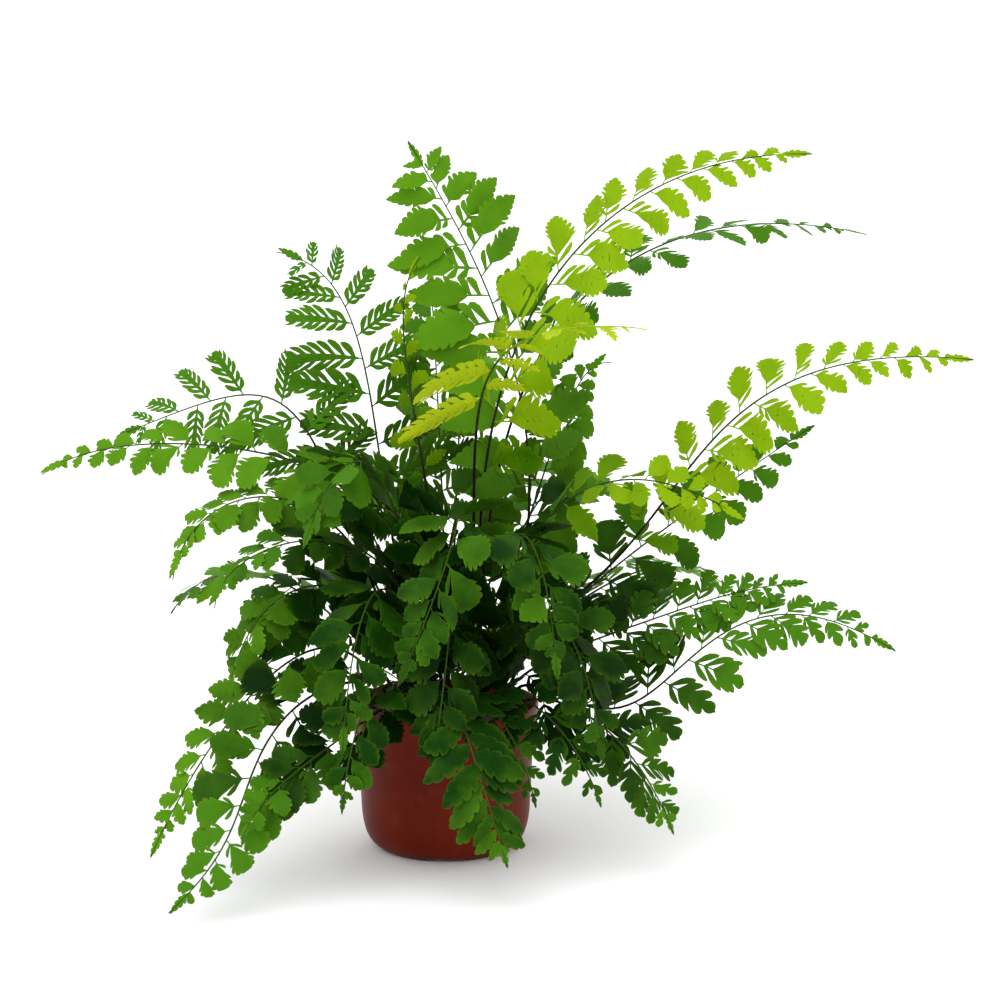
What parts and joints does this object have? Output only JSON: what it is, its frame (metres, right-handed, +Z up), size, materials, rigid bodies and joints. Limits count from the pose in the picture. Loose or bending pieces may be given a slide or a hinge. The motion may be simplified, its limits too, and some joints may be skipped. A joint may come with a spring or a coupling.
{
  "type": "potted fern",
  "caption": "Potted fern with arching, finely divided broad and comb-like fronds, standing in dark soil in a plain red-brown plastic pot.",
  "frame": {"origin": "centre of the pot's flat base, on the surface that the pot stands on", "axes": "+Z up along the pot's axis; +X to the right of a viewer facing the plant's best side, along the widest spread of the fronds; +Y away from that viewer"},
  "size_m": [0.5827, 0.388, 0.4616],
  "materials": {
    "pot": "satin red-brown plastic, slightly paler where light grazes it",
    "soil": "dark brown, crumbly peat potting mix",
    "leaf_old": "deep green, slightly leathery leaf with a faint sheen",
    "leaf_mid": "mid green, slightly leathery leaf with a faint sheen",
    "leaf_bright": "bright green young leaf, soft and thin",
    "leaf_young": "yellow-green newest leaf, soft and thin"
  },
  "bodies": {
    "root": {"pot": "pot", "soil": "soil", "frond_left_feather": "leaf_old", "frond_left_comb": "leaf_old", "frond_left_long": "leaf_mid", "frond_left_arch": "leaf_mid", "frond_left_bow": "leaf_old", "frond_left_low": "leaf_mid", "frond_left_sweep": "leaf_mid", "frond_front_left_long": "leaf_old", "frond_front_left_short": "leaf_old", "frond_top": "leaf_mid", "frond_top_behind": "leaf_old", "frond_top_thin": "leaf_bright", "frond_right_high": "leaf_bright", "frond_right_edge": "leaf_old", "frond_young": "leaf_young", "frond_right_long": "leaf_bright", "frond_right_dark": "leaf_old", "frond_right_middle": "leaf_bright", "frond_right_comb": "leaf_old", "frond_right_low": "leaf_old", "frond_right_hanging": "leaf_old", "frond_front_right_low": "leaf_mid", "frond_front_right_small": "leaf_mid", "frond_front_pot": "leaf_mid", "frond_front_left_pot": "leaf_mid", "frond_middle_left": "leaf_old", "frond_middle": "leaf_mid", "frond_middle_right": "leaf_mid", "frond_middle_low_left": "leaf_mid", "frond_middle_low": "leaf_old", "frond_middle_low_right": "leaf_old", "frond_middle_feather": "leaf_mid", "frond_back_high": "leaf_mid", "frond_back_right": "leaf_old", "frond_back_left": "leaf_old", "frond_back_right_low": "leaf_mid", "frond_back_left_low": "leaf_mid", "frond_back_low": "leaf_old"}
  },
  "joints": []
}
